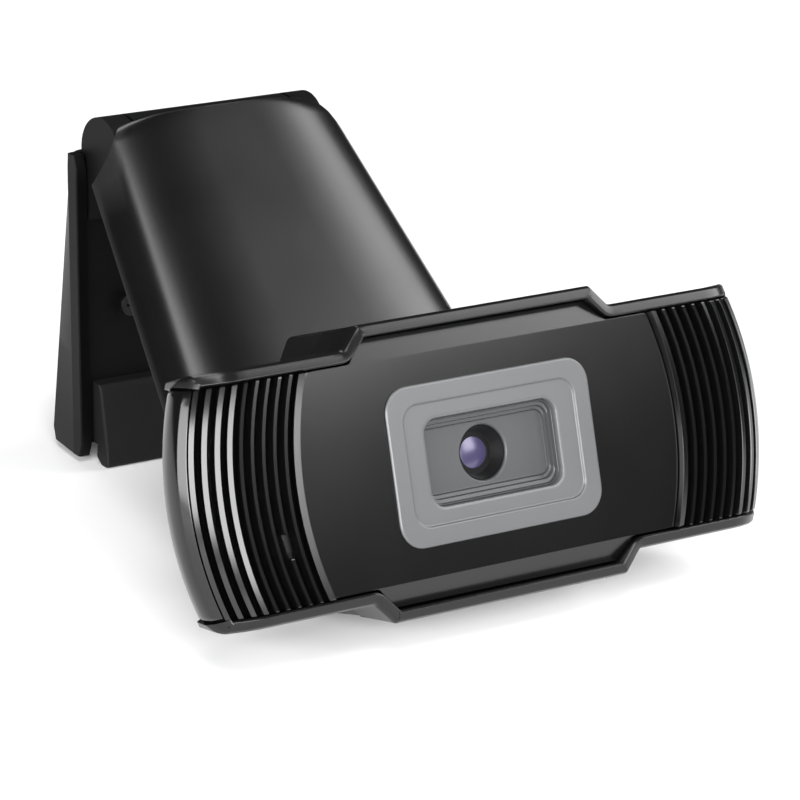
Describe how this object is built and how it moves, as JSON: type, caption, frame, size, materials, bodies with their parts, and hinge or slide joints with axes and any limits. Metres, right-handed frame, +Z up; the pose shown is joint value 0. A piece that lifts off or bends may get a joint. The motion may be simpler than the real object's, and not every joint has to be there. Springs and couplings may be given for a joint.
{
  "type": "clip-on webcam",
  "caption": "Clip-on webcam: wide black camera head with ribbed ends and a grey lens bezel, on a tilt and swivel neck over a folding monitor clip.",
  "frame": {"origin": "below the middle of the object's box, on the plane that the front jaw and the rear pad stand on", "axes": "+Z up, -Y the way the camera looks, +X across the head, to the right as seen from in front of the lens"},
  "size_m": [0.08, 0.0754, 0.0444],
  "materials": {
    "rim_plastic": "satin black",
    "panel_gloss": "polished black",
    "rib_plastic": "glossy black ribs",
    "bezel_grey": "light grey, satin",
    "tray_grey": "grey, satin",
    "lens_black": "matt black",
    "lens_glass": "coated glass",
    "filter_glass": "coated glass",
    "sensor_chip": "polished",
    "board_green": "solder mask",
    "chip_black": "moulded",
    "header_white": "moulded",
    "capsule_metal": "drawn",
    "screw_steel": "zinc plated",
    "screw_black": "black oxide",
    "case_plastic": "fine texture",
    "rubber": "matt",
    "arm_plastic": "satin black",
    "liner_plastic": "fine texture",
    "leg_plastic": "satin black",
    "pin_steel": "ground"
  },
  "bodies": {
    "camera_head": {"front_frame": "rim_plastic", "face_panel": "panel_gloss", "rib_grille_left": "rib_plastic", "rib_grille_right": "rib_plastic", "lens_bezel": "bezel_grey", "lens_tray": "tray_grey", "lens_barrel": "lens_black", "front_lens": "lens_glass", "rear_lens": "lens_glass", "lens_holder": "lens_black", "ir_filter": "filter_glass", "image_sensor": "sensor_chip", "circuit_board": "board_green", "controller_chip": "chip_black", "wire_header": "header_white", "microphone": "capsule_metal", "board_screws": "screw_steel", "rear_shell": "case_plastic", "case_screws": "screw_black", "cable_gland": "rubber", "tilt_bracket": "case_plastic", "bracket_screws": "screw_steel", "tilt_pin": "pin_steel"},
    "neck": {"swivel_neck": "case_plastic", "swivel_washer": "pin_steel", "swivel_screw": "screw_steel"},
    "clip_arm": {"arm_shell": "arm_plastic", "arm_liner": "liner_plastic", "arm_screws": "screw_steel", "jaw_pad": "rubber", "hinge_pin": "pin_steel", "hinge_washers": "pin_steel"},
    "clip_leg": {"leg_shell": "leg_plastic", "leg_liner": "liner_plastic", "leg_pad": "rubber", "leg_screws": "screw_steel"}
  },
  "joints": [
    {"name": "clip_hinge", "type": "hinge", "parent": "clip_arm", "child": "clip_leg", "pos_m": [0, 0.03039, 0.039], "axis": [1, 0, 0], "range_deg": [-40, 50]},
    {"name": "head_swivel", "type": "hinge", "parent": "clip_arm", "child": "neck", "pos_m": [0, -0.01099, 0.01967], "axis": [0, -0.6361, 0.7716], "range_deg": [-20, 20]},
    {"name": "head_tilt", "type": "hinge", "parent": "neck", "child": "camera_head", "pos_m": [0, -0.01099, 0.01967], "axis": [1, 0, 0], "range_deg": [-28, 8]}
  ]
}
